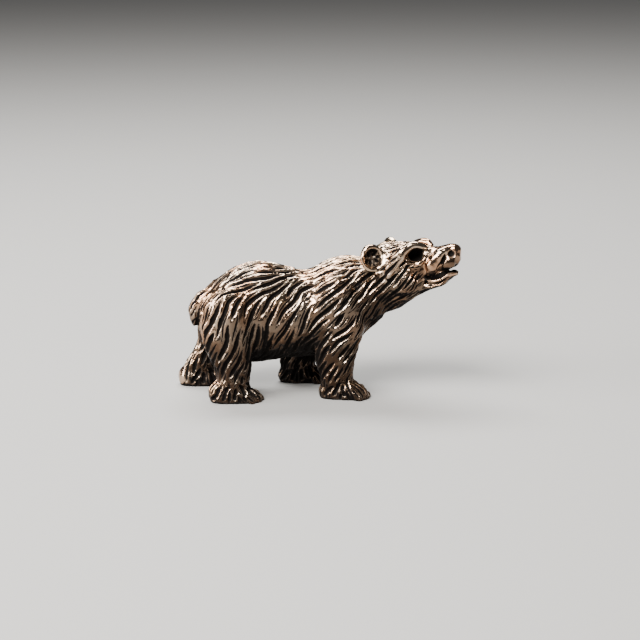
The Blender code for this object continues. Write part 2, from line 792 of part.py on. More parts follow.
def bronze():
    material = bpy.data.materials.new("bronze")
    material.use_nodes = True
    shader = material.node_tree.nodes["Principled BSDF"]
    shader.inputs["Base Color"].default_value = BRONZE
    shader.inputs["Metallic"].default_value = 1.0
    shader.inputs["Roughness"].default_value = BRONZE_ROUGHNESS
    return material


def main():
    clear_scene()
    skin = form_of_bear(FORM_VOXEL)
    cuts = cuts_of_coat(skin)
    move_points(skin, lambda points, normals: points - normals * cut_depths(points, cuts)[:, None])
    shape = thinned(skin, SURFACE_TRIANGLES)
    stand_on_soles(shape)
    set_to_size(shape)
    shape.name = "bear"
    shape.materials.clear()
    shape.materials.append(bronze())
    bear = bpy.data.objects.new("bear", shape)
    bpy.context.scene.collection.objects.link(bear)


main()
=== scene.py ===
import math
import random

import bmesh
import bpy
import numpy as np
from mathutils import Matrix, Vector, noise
from mathutils.bvhtree import BVHTree
from mathutils.kdtree import KDTree


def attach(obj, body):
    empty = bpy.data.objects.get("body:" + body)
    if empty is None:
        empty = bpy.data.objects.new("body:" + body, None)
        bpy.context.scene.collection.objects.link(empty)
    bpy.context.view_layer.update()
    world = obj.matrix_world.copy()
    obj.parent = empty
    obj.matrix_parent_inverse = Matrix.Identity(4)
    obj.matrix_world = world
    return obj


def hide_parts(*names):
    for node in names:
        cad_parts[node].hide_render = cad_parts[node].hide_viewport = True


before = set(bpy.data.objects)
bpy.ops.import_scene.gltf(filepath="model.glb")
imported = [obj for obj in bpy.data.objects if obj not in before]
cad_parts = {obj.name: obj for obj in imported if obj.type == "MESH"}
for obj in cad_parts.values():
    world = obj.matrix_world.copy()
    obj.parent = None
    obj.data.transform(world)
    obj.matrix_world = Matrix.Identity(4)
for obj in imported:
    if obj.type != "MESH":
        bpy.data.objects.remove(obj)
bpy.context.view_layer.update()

# The bear is sculpted again here, finer than its solid, from the same forms and the same strokes,
# which are cut a little wider and deeper. It is drawn on a scale where it is about 97 units long.
# It faces +x and its left side is +y.

figure = {
    "lengthMetres": 0.042,
    "drawnHeelX": -49.78,
    "drawnNoseX": 46.97,
    "coarseVoxel": 0.5,       # the form that the coat is drawn on, as fine as the solid's
    "fineVoxel": 0.3,         # the form that the cuts are sunk into
    "massSmoothing": 14,      # rounds at the coarse voxel
    "detailSmoothing": 3,
    "ringPoints": 28,
    "ringsBetween": 5,
    "ballDivisions": 3,
    "triangles": 194000,
    "handWork": 0.35,         # how far the hand left the surface uneven
    "handWaves": (0.23, 0.6),  # the scale of its broad waves and of the finer ones, half as high
    "dentRoundness": 1.2,
    "grain": 0.08,
    "grainScale": 1.3,
    "soleCutDistance": 1e-4,
}

# The head has its own frame: its middle between the ears, x towards the nose, y to the left ear
headPose = {"place": (20.4, -1.5, 48.4), "turn": -25, "raise": 6, "tilt": -5}
headFrame = (
    Matrix.Translation(headPose["place"])
    @ Matrix.Rotation(math.radians(headPose["turn"]), 4, "Z")
    @ Matrix.Rotation(math.radians(-headPose["raise"]), 4, "Y")
    @ Matrix.Rotation(math.radians(headPose["tilt"]), 4, "X")
)


def mirrored(point):
    return (point[0], -point[1], point[2])


def unchanged(point):
    return point


def inHead(point):
    return headFrame @ Vector(point)


def turnedWithHead(direction):
    return (headFrame.to_3x3() @ Vector(direction)).normalized()


def through(rows):
    # smooth in-between rows on a Catmull-Rom curve
    rows = np.array(rows, float)
    ends = np.vstack([2 * rows[0] - rows[1], rows, 2 * rows[-1] - rows[-2]])
    made = []
    steps = figure["ringsBetween"]
    for before, a, b, after in zip(ends, ends[1:], ends[2:], ends[3:]):
        for t in np.arange(steps) / steps:
            bend = 2 * before - 5 * a + 4 * b - after
            turn = 3 * a - before - 3 * b + after
            made.append(0.5 * (2 * a + (b - before) * t + bend * t**2 + turn * t**3))
    return np.array(made + [rows[-1]])


class Clay:
    # closed lumps that overlap, gathered before they are fused into one skin

    def __init__(self):
        self.points = []
        self.faces = []
        ball = bmesh.new()
        bmesh.ops.create_icosphere(ball, subdivisions=figure["ballDivisions"], radius=1.0)
        self.ballPoints = np.array([v.co for v in ball.verts])
        self.ballFaces = [[v.index for v in f.verts] for f in ball.faces]
        ball.free()

    def add(self, points, faces):
        first = len(self.points)
        self.points.extend(points)
        self.faces.extend([first + k for k in face] for face in faces)

    def addMesh(self, mesh):
        self.add([v.co[:] for v in mesh.vertices], [list(p.vertices) for p in mesh.polygons])

    def addBall(self, centre, radii, turn=None):
        turn = np.array(turn or Matrix.Identity(3))
        self.add((self.ballPoints * np.array(radii)) @ turn.T + np.array(centre), self.ballFaces)

    def addTube(self, path, radii):
        for x, y, z, radius in through([(*p, r) for p, r in zip(path, radii)]):
            self.addBall((x, y, z), (radius, radius, radius))

    def addLoft(self, sections):
        # oval sections, each a centre and two half axes
        count = figure["ringPoints"]
        points = []
        for centre, halfUp, halfSide in sections:
            for k in range(count):
                turn = 2 * math.pi * k / count
                points.append(centre + halfUp * math.sin(turn) + halfSide * math.cos(turn))
        faces = [list(range(count))[::-1]]
        for ring in range(len(sections) - 1):
            for k in range(count):
                here = ring * count + k
                beside = ring * count + (k + 1) % count
                faces.append([here, beside, beside + count, here + count])
        faces.append([len(points) - count + k for k in range(count)])
        self.add(points, faces)

    def fused(self, name, voxel, smoothing):
        mesh = bpy.data.meshes.new(name)
        mesh.from_pydata([tuple(p) for p in self.points], [], self.faces)
        lump = bpy.data.objects.new(name, mesh)
        remesh = lump.modifiers.new("fuse", "REMESH")
        remesh.mode = "VOXEL"
        remesh.voxel_size = voxel
        relax = lump.modifiers.new("relax", "SMOOTH")
        relax.iterations = smoothing
        return finished(lump)


def finished(thing):
    # the mesh with its modifiers carried out; the helper object goes
    bpy.context.scene.collection.objects.link(thing)
    bpy.context.view_layer.update()
    evaluated = thing.evaluated_get(bpy.context.evaluated_depsgraph_get())
    mesh = bpy.data.meshes.new_from_object(evaluated)
    bpy.data.objects.remove(thing)
    return mesh


# Trunk and neck: upright sections as top x, top z, bottom x, bottom z, half width, offset to the side
trunk = {
    "sections": (
        (-43.2, 31.5, -43.2, 26.0, 2.5, 0.0),
        (-41.4, 35.2, -41.8, 20.5, 7.4, 0.0),
        (-37.0, 39.6, -37.0, 15.0, 11.6, 0.0),
        (-30.6, 44.6, -30.6, 11.4, 13.4, 0.0),
        (-21.7, 46.8, -21.7, 11.0, 13.8, 0.0),
        (-13.0, 45.2, -13.0, 12.2, 13.8, 0.0),
        (-4.8, 43.2, -4.8, 12.6, 14.2, 0.0),
        (3.5, 46.9, 2.0, 13.5, 14.2, 0.0),
        (9.0, 47.8, 12.0, 17.0, 13.2, 0.0),
        (13.0, 47.6, 17.5, 22.5, 11.8, -0.2),
        (17.0, 49.2, 22.0, 26.5, 10.6, -0.8),
    ),
    # haunch, shoulder and the front of the chest, on both sides: centre and radii
    "muscles": (
        ((-32.5, 9.6, 28.0), (9.8, 6.4, 11.5)),
        ((4.5, 9.5, 32.5), (9.0, 6.0, 12.0)),
        ((11.0, 6.5, 36.0), (8.0, 6.5, 10.0)),
    ),
}

# Skull with its ruff, in the head's frame: x, top z, bottom z, half width
skull = (
    (1.0, 4.4, -20.6, 9.4),
    (6.0, 4.6, -18.8, 8.9),
    (10.0, 4.4, -16.6, 8.1),
    (14.0, 3.4, -14.4, 6.6),
    (17.0, 2.2, -12.6, 4.6),
    (18.2, 0.0, -10.5, 2.4),
)


def trunkSection(topX, topZ, bottomX, bottomZ, halfWidth, offset):
    upper = Vector((topX, offset, topZ))
    lower = Vector((bottomX, offset, bottomZ))
    return (upper + lower) / 2, (upper - lower) / 2, Vector((0, halfWidth, 0))


def headSection(x, top, bottom, halfWidth):
    upper = inHead((x, 0, top))
    lower = inHead((x, 0, bottom))
    return (upper + lower) / 2, (upper - lower) / 2, turnedWithHead((0, 1, 0)) * halfWidth


def addTrunk(clay):
    sections = [trunkSection(*row) for row in trunk["sections"]]
    sections += [headSection(*row) for row in skull]
    flat = through([(*centre, *up, *side) for centre, up, side in sections])
    clay.addLoft([(Vector(row[:3]), Vector(row[3:6]), Vector(row[6:])) for row in flat])
    for centre, radii in trunk["muscles"]:
        clay.addBall(centre, radii)
        clay.addBall(mirrored(centre), radii)


# Legs: level sections as z, rear x, front x, inner y, outer y
legForms = {
    "nearHind": (
        (37.0, -38.0, -24.0, 3.0, 12.5),
        (30.0, -42.2, -23.4, 3.0, 15.6),
        (23.0, -42.2, -23.8, 4.0, 16.2),
        (18.0, -40.8, -24.2, 5.0, 15.8),
        (13.0, -38.8, -24.8, 6.0, 15.3),
        (8.1, -37.2, -25.6, 6.3, 15.1),
        (4.0, -37.8, -26.2, 6.4, 15.2),
        (-1.0, -36.5, -28.0, 7.4, 14.4),
    ),
    "farHind": (
        (37.0, -38.0, -24.0, 3.0, 12.5),
        (30.0, -42.6, -24.0, 3.0, 15.6),
        (23.0, -42.8, -26.5, 4.0, 16.2),
        (16.0, -43.0, -30.0, 5.0, 15.6),
        (11.0, -45.4, -33.0, 6.0, 15.3),
        (7.5, -47.8, -35.0, 6.3, 15.1),
        (4.0, -48.2, -36.0, 6.4, 15.2),
        (-1.0, -45.0, -37.0, 7.4, 14.4),
    ),
    "nearFore": (
        (38.0, 1.0, 12.0, 4.0, 12.5),
        (30.0, -2.0, 14.4, 3.5, 15.2),
        (22.0, -2.8, 13.6, 4.5, 15.6),
        (14.7, -3.2, 11.2, 5.6, 15.3),
        (9.8, -2.2, 10.4, 6.2, 15.0),
        (6.0, -1.4, 10.2, 6.6, 14.4),
        (-1.0, 1.0, 9.6, 7.6, 13.4),
    ),
    "farFore": (
        (38.0, -2.0, 10.0, 4.0, 12.5),
        (30.0, -6.5, 11.0, 3.5, 15.2),
        (22.0, -10.0, 7.5, 4.5, 15.6),
        (14.7, -12.6, 2.6, 5.6, 15.3),
        (9.8, -13.6, 0.2, 6.2, 15.0),
        (6.0, -13.6, -0.8, 6.6, 14.4),
        (-1.0, -11.4, -2.0, 7.6, 13.4),
    ),
}

# Paws: x in percent of the paw's length from the heel, top z, bottom z, inner y, outer y
paws = {
    "hind": (
        (0.8, 4.2, 1.8, 9.4, 12.4),
        (7.0, 6.2, -0.6, 7.6, 14.2),
        (22.0, 7.2, -2.0, 6.3, 15.4),
        (50.0, 7.2, -2.0, 5.9, 15.9),
        (70.0, 5.4, -2.0, 5.9, 15.9),
        (86.0, 3.8, -2.0, 6.6, 15.2),
        (94.0, 2.2, -2.0, 8.0, 13.8),
    ),
    "fore": (
        (0.8, 3.8, 1.8, 9.2, 11.4),
        (8.0, 5.6, -0.6, 8.0, 12.8),
        (25.0, 6.8, -2.0, 6.8, 14.2),
        (50.0, 7.4, -2.0, 5.9, 15.7),
        (70.0, 5.8, -2.0, 5.8, 16.0),
        (86.0, 4.2, -2.0, 6.4, 15.4),
        (94.0, 2.6, -2.0, 8.0, 13.8),
    ),
    "toes": 5,
    "toeSpread": (6.6, 15.2),
    "toeSetback": 3.4,
    "toeWidth": 1.05,         # times the toe's radius at its middle
    # a toe behind its tip: how far back, share of the spread, height above the radius
    "toeRoot": ((5.0, 0.8, 1.9), (2.2, 0.93, 0.9)),
    "toeTipHeight": 0.5,      # times the radius
    # cuts that fan out from the ankle, in degrees from straight ahead
    "fanAngles": (-148, -118, -90, -63, -37, -13, 12, 36, 62, 92, 122, 152),
    "fanMiddle": 0.46,        # from the heel, as a share of the paw's length
    "fanLength": 0.52,        # to the front and the back, as a share of the paw's length
    "fanWidth": 5.2,          # to each side
    "fanReach": 0.93,         # times both
    # where they start, as shares of the way out: every other one starts higher
    "fanStarts": (0.42, 0.2),
    "fanHeight": 8.6,
    "rimHeight": 1.3,
    "fanFall": 1.2,
    "fanPoints": 22,
    "fanSpacing": 2.5,
}

# side, leg sections, paw sections, heel x, paw length, toe radius
legs = (
    (-1, legForms["nearHind"], paws["hind"], -40.2, 19.4, 1.1),
    (1, legForms["farHind"], paws["hind"], -49.9, 19.4, 1.1),
    (-1, legForms["nearFore"], paws["fore"], -2.0, 18.6, 1.4),
    (1, legForms["farFore"], paws["fore"], -14.4, 18.6, 1.4),
)


def legSection(side, z, rear, front, inner, outer):
    centre = Vector(((rear + front) / 2, side * (inner + outer) / 2, z))
    return centre, Vector(((front - rear) / 2, 0, 0)), Vector((0, (outer - inner) / 2, 0))


def pawSection(side, heel, length, x, top, bottom, inner, outer):
    centre = Vector((heel + length * x / 100, side * (inner + outer) / 2, (top + bottom) / 2))
    return centre, Vector((0, 0, (top - bottom) / 2)), Vector((0, (outer - inner) / 2, 0))


def addLegs(clay):
    for side, leg, paw, heel, length, _ in legs:
        clay.addLoft([legSection(side, *row) for row in through(leg)])
        clay.addLoft([pawSection(side, heel, length, *row) for row in through(paw)])


def addToes(clay):
    # the middle toes reach furthest forward
    inner, outer = paws["toeSpread"]
    for side, _, _, heel, length, radius in legs:
        for k in range(paws["toes"]):
            share = k / (paws["toes"] - 1)
            setback = paws["toeSetback"] * (2 * share - 1) ** 2
            y = side * (inner + share * (outer - inner))
            middle = side * (inner + outer) / 2
            tip = heel + length - radius - setback
            path = [(tip - back, middle + (y - middle) * spread, radius + height)
                    for back, spread, height in paws["toeRoot"]]
            path.append((tip, y, radius * paws["toeTipHeight"]))
            clay.addTube(path, (radius, radius * paws["toeWidth"], radius))


tail = {
    "path": (
        (-39.4, 0.0, 36.4),
        (-42.4, 0.0, 33.2),
        (-43.8, 0.0, 29.8),
        (-43.8, 0.0, 26.8),
        (-43.4, 0.0, 24.6),
    ),
    "radii": (1.8, 2.4, 2.4, 1.9, 1.0),
}

# The face, in the head's frame: the right side, mirrored to the left
face = {
    "muzzle": (
        (12.0, 1.6, -7.6, 3.8),
        (16.5, 2.9, -8.0, 4.7),
        (19.5, 2.3, -7.6, 4.6),
        (22.7, 2.5, -6.6, 4.2),
        (25.6, 3.3, -5.4, 3.8),
        (27.8, 2.5, -4.4, 2.9),
        (29.1, 0.4, -2.6, 1.4),
    ),
    "jaw": (
        (11.0, -9.5, -15.6, 3.8),
        (16.5, -9.2, -13.2, 4.2),
        (19.7, -9.6, -12.0, 4.0),
        (22.4, -8.9, -11.2, 3.5),
        (24.8, -7.4, -9.3, 2.9),
        (26.4, -6.7, -8.3, 2.2),
        (27.7, -7.0, -8.0, 1.0),
    ),
    "browPath": (
        (17.6, -3.6, 2.3),
        (15.8, -4.8, 3.2),
        (13.4, -6.0, 3.2),
        (11.2, -7.3, 2.0),
        (9.4, -8.2, -0.4),
        (7.0, -9.0, -3.2),
        (5.2, -9.0, -6.6),
    ),
    "browRadii": (0.8, 1.1, 1.35, 1.55, 1.7, 1.6, 1.0),
    # how far the brow is filled out over its tube, and how broadly, both times its radius
    "browRise": 0.34,
    "browReach": 1.8,
    "lidPath": (
        (10.6, -7.6, -1.7),
        (12.4, -7.3, -2.9),
        (14.8, -6.6, -3.1),
        (16.8, -5.6, -2.4),
        (17.9, -4.8, -0.9),
    ),
    "lidRadii": (0.5, 0.85, 0.9, 0.8, 0.5),
    # the curled edge of the lower lip, from the corner of the mouth to its front
    "lipPath": (
        (17.4, -4.3, -8.6),
        (20.3, -4.3, -9.2),
        (23.0, -3.5, -8.5),
        (25.2, -2.5, -7.0),
        (27.2, -1.0, -6.9),
    ),
    "lipRadii": (0.5, 0.65, 0.65, 0.65, 0.5),
    # the rear lobe of the upper lip, which runs up over the side of the muzzle
    "lobePath": ((19.5, -3.5, -5.4), (20.0, -3.9, -3.4), (22.2, -3.4, -0.7), (24.8, -2.3, 1.3)),
    "lobeRadii": (1.9, 2.5, 2.2, 1.4),
    # cheek and front lobe of the lip: centre and radii
    "swells": (
        ((8.5, -5.8, -8.5), (6.2, 3.6, 5.6)),
        ((25.0, -2.6, -3.1), (2.7, 2.1, 2.4)),
    ),
    # nose and tongue, on the middle line
    "middle": (
        ((26.9, 0.0, 0.8), (2.5, 3.0, 2.3)),
        ((20.5, 0.0, -7.7), (6.3, 3.1, 1.9)),
    ),
    # mouth, sockets and nostrils stay black: where the mouth opens, and how far the black reaches
    "mouthLine": (
        (17.8, -4.2, -7.9),
        (20.5, -3.8, -7.9),
        (23.2, -3.0, -6.8),
        (25.6, -1.8, -5.8),
        (27.0, 0.0, -5.5),
    ),
    "mouthReach": 1.5,
    "socketReach": 3.9,
    "socketShare": 0.75,      # the middle of the black lies this far down the socket
    "nostrilReach": 2.2,
    "nostrilBlackness": 0.55,
    # the fold between the two lobes of the upper lip
    "lipFold": ((24.9, -3.9, 0.0), (23.8, -4.7, -2.6), (22.3, -4.9, -5.4)),
    "underLip": ((17.4, -4.8, -10.0), (20.3, -4.9, -10.6), (23.0, -4.1, -9.9), (25.2, -2.9, -8.4)),
    "foldSpacing": 2.0,
    # place, radius, depth, direction of each dent
    "eye": ((14.8, -5.6, 0.4), 2.9, 3.4, (-0.45, 0.9, -0.15)),
    "nostril": ((26.6, -2.9, -0.2), 1.5, 1.4, (-0.5, 0.85, 0)),
}

ears = {
    "centre": (-0.4, -7.9, -0.3),
    "farCentre": (1.5, 7.9, 0.2),
    "facing": (0.60, -0.78, 0.12),
    "radii": (4.2, 4.4, 1.5),
    "rimRadius": 1.1,
    "rimReach": 0.84,         # where the middle of the rim runs, as a share of the radii
    "rimLift": 0.5,           # and how far forward
    "rimStep": 30,            # degrees
    "cupRadius": 3.6,
    "cupDepth": 2.3,
    # cuts between the tufts inside: angle, where it starts and ends as a share of the radii
    "tufts": (
        (8, 0.30, 0.72),
        (52, 0.12, 0.70),
        (84, 0.35, 0.78),
        (128, 0.10, 0.66),
        (163, 0.38, 0.76),
        (205, 0.18, 0.70),
        (251, 0.05, 0.62),
        (287, 0.34, 0.76),
        (330, 0.16, 0.66),
    ),
    "tuftSpacing": 1.6,
    "tuftLift": 0.2,
    "tuftPoints": 12,
    "blackReach": 4.2,
    "blackness": 0.38,
    "blackSink": 0.2,         # the middle of the black lies this far behind the ear's own
}


def addFace(clay):
    clay.addLoft([headSection(*row) for row in through(face["muzzle"])])
    clay.addLoft([headSection(*row) for row in through(face["jaw"])])
    turn = headFrame.to_3x3()
    for flip in (unchanged, mirrored):
        clay.addTube([inHead(flip(p)) for p in face["browPath"]], face["browRadii"])
        clay.addTube([inHead(flip(p)) for p in face["lidPath"]], face["lidRadii"])
        clay.addTube([inHead(flip(p)) for p in face["lipPath"]], face["lipRadii"])
        clay.addTube([inHead(flip(p)) for p in face["lobePath"]], face["lobeRadii"])
        for centre, radii in face["swells"]:
            clay.addBall(inHead(flip(centre)), radii, turn)
    for centre, radii in face["middle"]:
        clay.addBall(inHead(centre), radii, turn)


def earFrame(flip):
    # the ear's middle, then its directions across, up and out of the cup
    facing = turnedWithHead(flip(ears["facing"]))
    across = turnedWithHead((0, 0, 1)).cross(facing).normalized()
    centre = inHead(ears["centre"] if flip is unchanged else ears["farCentre"])
    return centre, across, facing.cross(across), facing


def aroundEar(flip, reach, lift, angle):
    centre, across, up, facing = earFrame(flip)
    wide, high, deep = ears["radii"]
    out = across * wide * math.cos(angle) + up * high * math.sin(angle)
    return centre + out * reach + facing * deep * lift


def earRim(flip, step):
    # the first point comes again at the end
    return [aroundEar(flip, ears["rimReach"], ears["rimLift"], math.radians(angle))
            for angle in range(0, 361, step)]


def addEars(clay):
    for flip in (unchanged, mirrored):
        centre, across, up, facing = earFrame(flip)
        clay.addBall(centre, ears["radii"], Matrix((across, up, facing)).transposed())
        rim = earRim(flip, ears["rimStep"])
        clay.addTube(rim, [ears["rimRadius"]] * len(rim))


def formOfBear(voxel):
    # smoothing moves a point less on a finer skin, so it takes more rounds there
    rounds = (figure["coarseVoxel"] / voxel) ** 2
    clay = Clay()
    addTrunk(clay)
    addLegs(clay)
    masses = clay.fused("masses", voxel, round(figure["massSmoothing"] * rounds))

    clay = Clay()
    clay.addMesh(masses)
    addToes(clay)
    clay.addTube(tail["path"], tail["radii"])
    addFace(clay)
    addEars(clay)
    skin = clay.fused("form", voxel, round(figure["detailSmoothing"] * rounds))
    movePoints(skin, dented)
    return skin


def pointsOf(mesh):
    points = np.empty(len(mesh.vertices) * 3)
    normals = np.empty(len(mesh.vertices) * 3)
    mesh.vertices.foreach_get("co", points)
    mesh.vertices.foreach_get("normal", normals)
    return points.reshape(-1, 3), normals.reshape(-1, 3)


def movePoints(mesh, how):
    mesh.vertices.foreach_set("co", how(*pointsOf(mesh)).ravel())
    mesh.update()


def press(points, centre, radius, depth, direction):
    # a round dent
    away = np.linalg.norm(points - np.array(centre), axis=1) / radius
    fall = np.clip(1 - away**2, 0, 1) ** figure["dentRoundness"]
    points += np.outer(fall * depth, np.array(direction))


def dented(points, normals):
    # eye sockets, nostrils, ear cups and the unevenness that the hand leaves
    points = points.copy()
    for flip in (unchanged, mirrored):
        for name in ("eye", "nostril"):
            place, radius, depth, direction = face[name]
            press(points, inHead(flip(place)), radius, depth, turnedWithHead(flip(direction)))
        centre, _, _, facing = earFrame(flip)
        press(points, centre + facing * ears["radii"][2], ears["cupRadius"], ears["cupDepth"], -facing)
    broad, fine = figure["handWaves"]
    sway = [noise.noise(Vector(p) * broad) + 0.5 * noise.noise(Vector(p) * fine) for p in points]
    return points + normals * (figure["handWork"] * np.array(sway))[:, None]


# The coat: how the hair lies, seen from the right, as x, z, angle in degrees, lock spacing, lock length
coat = {
    "body": (
        (-42.0, 34.0, 240, 3.2, 11),
        (-38.5, 40.0, 221, 3.2, 12),
        (-35.3, 29.7, 257, 3.6, 17),
        (-28.3, 26.0, 252, 3.3, 15),
        (-35.3, 18.7, 246, 3.1, 13),
        (-19.0, 45.0, 184, 3.0, 12),
        (-28.0, 43.0, 200, 3.0, 12),
        (-19.0, 39.5, 214, 3.0, 11),
        (-19.5, 33.0, 245, 2.9, 13),
        (-21.0, 23.8, 258, 2.9, 13),
        (-12.3, 36.0, 234, 2.9, 12),
        (-8.8, 27.2, 244, 2.7, 11),
        (-8.0, 18.0, 248, 2.6, 9),
        (-4.8, 43.0, 200, 2.7, 9),
        (4.2, 45.5, 209, 2.8, 12),
        (9.5, 41.0, 217, 2.9, 11),
        (2.0, 34.2, 222, 3.1, 12),
        (7.2, 25.0, 212, 2.9, 11),
        (16.0, 37.4, 231, 2.2, 7),
        (15.0, 28.0, 238, 2.3, 8),
    ),
    # the same on a hind leg and a fore leg, with x measured from the heel
    "hindLeg": ((8.5, 11.3, 232, 2.6, 10), (6.0, 4.7, 262, 2.3, 8), (15.5, 3.0, 312, 1.9, 5)),
    "foreLeg": (
        (7.5, 15.8, 222, 2.7, 9),
        (8.0, 9.6, 238, 2.4, 8),
        (4.0, 4.0, 250, 2.2, 6),
        (13.0, 3.0, 305, 1.9, 5),
    ),
    # the same on the head, in its frame: x, y, z, angle, spacing, length
    "head": (
        (8.0, -7.5, -6.0, 232, 2.7, 10),
        (8.0, -7.0, 1.0, 214, 2.1, 7),
        (8.0, -2.5, 5.0, 190, 2.0, 6),
        (-3.0, -4.0, 5.0, 192, 2.2, 7),
        (15.5, -5.5, 4.4, 205, 1.8, 4),
        (14.0, -5.0, -11.0, 205, 2.2, 8),
        (4.0, -5.0, -18.0, 215, 2.4, 8),
        (24.0, -3.0, 2.0, 190, 1.8, 3),
    ),
    # places that stay smooth, in the head's frame: centre and radius
    "bare": (
        ((24.5, 0.0, -1.5), 7.2),
        ((24.5, 0.0, -9.0), 6.5),
        ((19.5, -4.0, -3.0), 4.2),
        ((19.5, 4.0, -3.0), 4.2),
        ((14.8, -5.0, 1.2), 4.2),
        ((14.8, 5.0, 1.2), 4.2),
        ((10.4, -7.4, 1.0), 2.2),
        ((10.4, 7.4, 1.0), 2.2),
        ((0.0, -8.4, 0.2), 5.2),
        ((1.9, 8.4, 0.6), 5.2),
    ),
    # the heel of the left hind paw, in the figure's own frame
    "bareHeel": ((-49.0, 10.5, 3.4), 3.6),
    "bareRim": 0.4,           # the height of the smooth rim under the paws
    "side": 12.5,
    "blending": 4.0,          # a higher value blends the guides more softly
    "wander": 0.44,           # how far the locks sway from the guides
    "wanderScale": 0.16,
    "wanderStart": (7, 3, 5),
}

# The cuts between the locks
locks = {
    "seed": 11,
    "step": 0.4,
    "spacing": 0.9,       # times the guide's spacing
    "nearest": 0.42,      # a cut stops this near to another, as a share of the spacing
    "least": 0.3,         # a shorter cut is left out, as a share of the guide's length
    "length": (0.7, 1.3),
    "depth": 0.40,
    "halfWidth": 0.43,
    "taper": 3.5,
}

# Shallower strokes that split the locks
hairs = {
    "seed": 23,
    "step": 0.35,
    "spacing": 0.5,
    "nearest": 0.6,
    "least": 0.2,
    "length": (0.3, 0.8),
    "depth": 0.30,
    "halfWidth": 0.38,
    "taper": 2.5,
    "browReach": 2.0,         # none comes nearer to the middle of the brow
    "backReach": 2.8,         # or to the top of the back, which lies between these places
    "backFrom": -38,
    "backTo": -2,
    "backStep": 2,
    "backAbove": 60,
}

# Both kinds of stroke: how they are spaced, and how their width and depth run out at the ends
strokeRules = {
    "cell": 5.0,              # no search for a near stroke reaches further
    "startClearance": 0.93,   # a stroke starts this far from the others, as a share of the spacing
    "nextLock": (0.95, 1.2),  # and the next one this far beside it
    "nextEvery": 3,           # points between two places where a next one may start
    "widthTaper": 0.4,
    "depthTaper": 0.6,
    "roundness": 1.6,
}


def sideDirection(angle):
    return Vector((math.cos(math.radians(angle)), 0, math.sin(math.radians(angle))))


def coatGuides():
    rows = []
    for x, z, angle, spacing, length in coat["body"]:
        for side in (-1, 1):
            rows.append((x, side * coat["side"], z, *sideDirection(angle), spacing, length))
    legCoats = (coat["hindLeg"], coat["hindLeg"], coat["foreLeg"], coat["foreLeg"])
    for (side, _, _, heel, _, _), guides in zip(legs, legCoats):
        for x, z, angle, spacing, length in guides:
            rows.append((heel + x, side * coat["side"], z, *sideDirection(angle), spacing, length))
    for x, y, z, angle, spacing, length in coat["head"]:
        for flip in (unchanged, mirrored):
            place = inHead(flip((x, y, z)))
            rows.append((*place, *turnedWithHead(sideDirection(angle)), spacing, length))
    return np.array(rows)


class Coat:
    # the lie of the hair over the whole surface, blended from the guides

    def __init__(self, skin):
        self.guides = coatGuides()
        self.tree = BVHTree.FromPolygons(
            [v.co for v in skin.vertices], [p.vertices for p in skin.polygons]
        )
        self.bare = [(inHead(c), r) for c, r in coat["bare"]]
        self.bare.append((Vector(coat["bareHeel"][0]), coat["bareHeel"][1]))

    def ontoSurface(self, point):
        place, normal, _, _ = self.tree.find_nearest(point)
        return place, normal

    def lie(self, point, normal):
        away = ((self.guides[:, :3] - np.array(point)) ** 2).sum(axis=1)
        weight = 1 / (away + coat["blending"]) ** 2
        blend = weight @ self.guides[:, 3:] / weight.sum()
        direction = Vector(blend[:3])
        direction -= normal * direction.dot(normal)
        direction.normalize()
        place = point * coat["wanderScale"] + Vector(coat["wanderStart"])
        wander = coat["wander"] * noise.noise(place)
        direction += normal.cross(direction) * wander
        return direction.normalized(), blend[3], blend[4]

    def isBare(self, point):
        if point.z < coat["bareRim"]:
            return True
        return any((point - centre).length < radius for centre, radius in self.bare)


class Nearby:
    # points already taken, kept in cells so that a near one is found at once

    def __init__(self, cell):
        self.cell = cell
        self.cells = {}

    def key(self, point):
        return tuple(math.floor(c / self.cell) for c in point)

    def add(self, points):
        for point in points:
            self.cells.setdefault(self.key(point), []).append(point)

    def anyWithin(self, point, distance):
        i, j, k = self.key(point)
        for a in (i - 1, i, i + 1):
            for b in (j - 1, j, j + 1):
                for c in (k - 1, k, k + 1):
                    for other in self.cells.get((a, b, c), ()):
                        if (other - point).length < distance:
                            return True
        return False


def traced(lay, start, normal, way, reach, taken, nearest, step):
    # follows the hair until the reach is used up or another cut is too near
    path = []
    point = start
    for _ in range(int(reach / step)):
        direction, _, _ = lay.lie(point, normal)
        point, normal = lay.ontoSurface(point + direction * way * step)
        if lay.isBare(point) or taken.anyWithin(point, nearest):
            break
        path.append(point)
    return path


def pawFans(lay):
    # between the toes and round the sides of each paw, from the ankle to the rim
    cuts = []
    for side, _, _, heel, length, _ in legs:
        middle = Vector((heel + length * paws["fanMiddle"], side * sum(paws["toeSpread"]) / 2, 0))
        for k, angle in enumerate(paws["fanAngles"]):
            turn = math.radians(angle)
            ahead = math.cos(turn) * length * paws["fanLength"]
            out = Vector((ahead, math.sin(turn) * paws["fanWidth"], 0)) * paws["fanReach"]
            path = []
            for share in np.linspace(paws["fanStarts"][k % 2], 1.0, paws["fanPoints"]):
                fall = (paws["fanHeight"] - paws["rimHeight"]) * (1 - share) ** paws["fanFall"]
                lift = Vector((0, 0, paws["rimHeight"] + fall))
                path.append(lay.ontoSurface(middle + out * share + lift)[0])
            if not lay.isBare(path[-1]):
                cuts.append((path, paws["fanSpacing"]))
    return cuts


def faceCuts(lay):
    # the folds of the lips, and the hollows between the tufts that line the ears
    cuts = []
    for flip in (unchanged, mirrored):
        for name in ("lipFold", "underLip"):
            fold = through(face[name])
            cuts.append(([lay.ontoSurface(inHead(flip(p)))[0] for p in fold], face["foldSpacing"]))
        for angle, inner, outer in ears["tufts"]:
            turn = math.radians(angle)
            reaches = np.linspace(inner, outer, ears["tuftPoints"])
            tuft = [aroundEar(flip, reach, ears["tuftLift"], turn) for reach in reaches]
            cuts.append(([lay.ontoSurface(p)[0] for p in tuft], ears["tuftSpacing"]))
    return cuts


